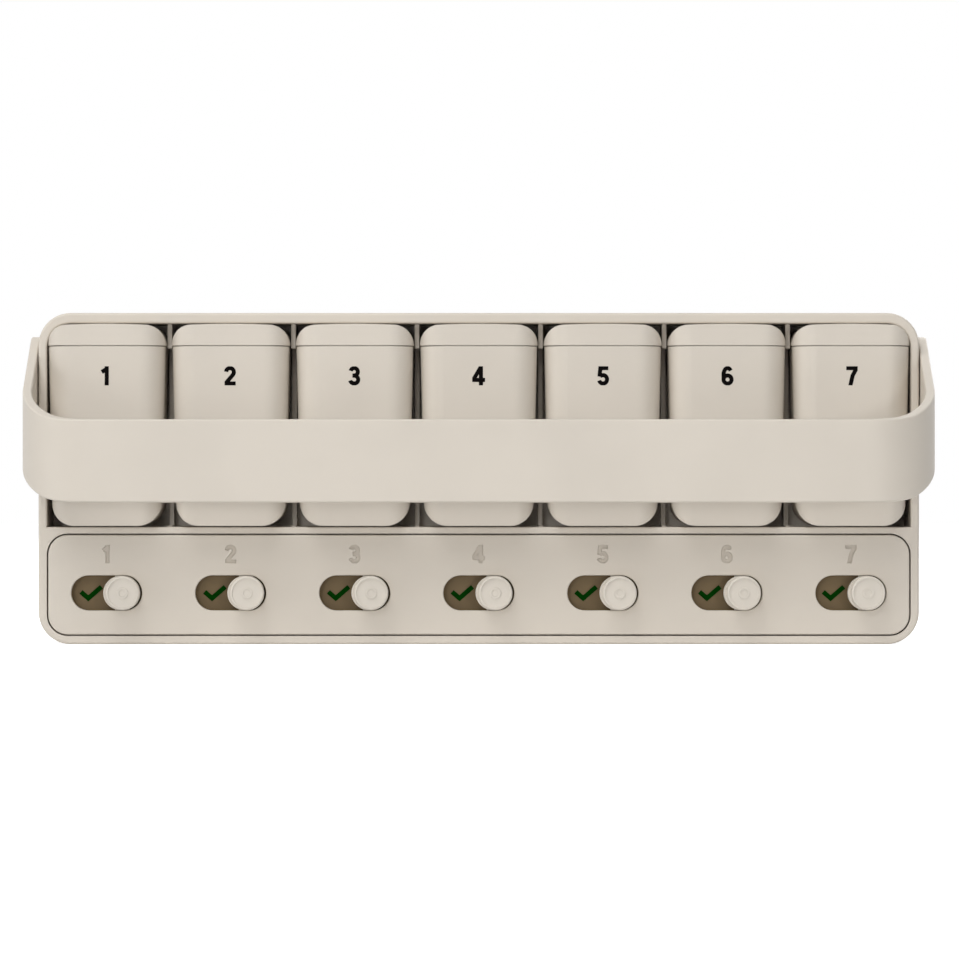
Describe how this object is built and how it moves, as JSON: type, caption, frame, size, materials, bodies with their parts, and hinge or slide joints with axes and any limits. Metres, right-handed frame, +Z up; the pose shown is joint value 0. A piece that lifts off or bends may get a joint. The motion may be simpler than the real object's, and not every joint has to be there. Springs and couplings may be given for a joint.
{
  "type": "weekly pill organizer",
  "caption": "Upright tray of removable pill cups with sliding lids, a front panel of sliding day trackers over check marks, and a flat swinging carrying handle.",
  "frame": {"origin": "middle of the tray's flat underside", "axes": "+X to the right along the row of cups, +Y from the open front to the back, +Z up"},
  "size_m": [0.2466, 0.0645, 0.0907],
  "materials": {
    "shell": "fine satin",
    "cup": "fine satin",
    "knob": "satin",
    "track": "matt",
    "check_print": "printed",
    "screw_steel": "plated"
  },
  "bodies": {
    "tray": {"tray": "shell", "pivot_pin_left": "shell", "pivot_pin_right": "shell", "tracker_panel": "shell", "track_plate": "track", "check_marks": "check_print", "panel_screws": "screw_steel"},
    "handle": {"handle": "shell"},
    "cup_1": {"cup_1": "cup"},
    "lid_1": {"lid_1": "cup"},
    "slider_1": {"slider_knob_1": "knob", "slider_clip_1": "knob"},
    "cup_2": {"cup_2": "cup"},
    "lid_2": {"lid_2": "cup"},
    "slider_2": {"slider_knob_2": "knob", "slider_clip_2": "knob"},
    "cup_3": {"cup_3": "cup"},
    "lid_3": {"lid_3": "cup"},
    "slider_3": {"slider_knob_3": "knob", "slider_clip_3": "knob"},
    "cup_4": {"cup_4": "cup"},
    "lid_4": {"lid_4": "cup"},
    "slider_4": {"slider_knob_4": "knob", "slider_clip_4": "knob"},
    "cup_5": {"cup_5": "cup"},
    "lid_5": {"lid_5": "cup"},
    "slider_5": {"slider_knob_5": "knob", "slider_clip_5": "knob"},
    "cup_6": {"cup_6": "cup"},
    "lid_6": {"lid_6": "cup"},
    "slider_6": {"slider_knob_6": "knob", "slider_clip_6": "knob"},
    "cup_7": {"cup_7": "cup"},
    "lid_7": {"lid_7": "cup"},
    "slider_7": {"slider_knob_7": "knob", "slider_clip_7": "knob"}
  },
  "joints": [
    {"name": "handle_swing", "type": "hinge", "parent": "tray", "child": "handle", "pos_m": [0, -0.0005, 0.0755], "axis": [-1, 0, 0], "range_deg": [0, 118]},
    {"name": "cup_1_slide", "type": "slide", "parent": "tray", "child": "cup_1", "axis": [0, -1, 0], "range_m": [0, 0.0242]},
    {"name": "lid_1_slide", "type": "slide", "parent": "cup_1", "child": "lid_1", "axis": [0, -1, 0], "range_m": [0, 0.02]},
    {"name": "slider_1_slide", "type": "slide", "parent": "tray", "child": "slider_1", "axis": [-1, 0, 0], "range_m": [0, 0.0085]},
    {"name": "cup_2_slide", "type": "slide", "parent": "tray", "child": "cup_2", "axis": [0, -1, 0], "range_m": [0, 0.0242]},
    {"name": "lid_2_slide", "type": "slide", "parent": "cup_2", "child": "lid_2", "axis": [0, -1, 0], "range_m": [0, 0.02]},
    {"name": "slider_2_slide", "type": "slide", "parent": "tray", "child": "slider_2", "axis": [-1, 0, 0], "range_m": [0, 0.0085]},
    {"name": "cup_3_slide", "type": "slide", "parent": "tray", "child": "cup_3", "axis": [0, -1, 0], "range_m": [0, 0.0242]},
    {"name": "lid_3_slide", "type": "slide", "parent": "cup_3", "child": "lid_3", "axis": [0, -1, 0], "range_m": [0, 0.02]},
    {"name": "slider_3_slide", "type": "slide", "parent": "tray", "child": "slider_3", "axis": [-1, 0, 0], "range_m": [0, 0.0085]},
    {"name": "cup_4_slide", "type": "slide", "parent": "tray", "child": "cup_4", "axis": [0, -1, 0], "range_m": [0, 0.0242]},
    {"name": "lid_4_slide", "type": "slide", "parent": "cup_4", "child": "lid_4", "axis": [0, -1, 0], "range_m": [0, 0.02]},
    {"name": "slider_4_slide", "type": "slide", "parent": "tray", "child": "slider_4", "axis": [-1, 0, 0], "range_m": [0, 0.0085]},
    {"name": "cup_5_slide", "type": "slide", "parent": "tray", "child": "cup_5", "axis": [0, -1, 0], "range_m": [0, 0.0242]},
    {"name": "lid_5_slide", "type": "slide", "parent": "cup_5", "child": "lid_5", "axis": [0, -1, 0], "range_m": [0, 0.02]},
    {"name": "slider_5_slide", "type": "slide", "parent": "tray", "child": "slider_5", "axis": [-1, 0, 0], "range_m": [0, 0.0085]},
    {"name": "cup_6_slide", "type": "slide", "parent": "tray", "child": "cup_6", "axis": [0, -1, 0], "range_m": [0, 0.0242]},
    {"name": "lid_6_slide", "type": "slide", "parent": "cup_6", "child": "lid_6", "axis": [0, -1, 0], "range_m": [0, 0.02]},
    {"name": "slider_6_slide", "type": "slide", "parent": "tray", "child": "slider_6", "axis": [-1, 0, 0], "range_m": [0, 0.0085]},
    {"name": "cup_7_slide", "type": "slide", "parent": "tray", "child": "cup_7", "axis": [0, -1, 0], "range_m": [0, 0.0242]},
    {"name": "lid_7_slide", "type": "slide", "parent": "cup_7", "child": "lid_7", "axis": [0, -1, 0], "range_m": [0, 0.02]},
    {"name": "slider_7_slide", "type": "slide", "parent": "tray", "child": "slider_7", "axis": [-1, 0, 0], "range_m": [0, 0.0085]}
  ]
}
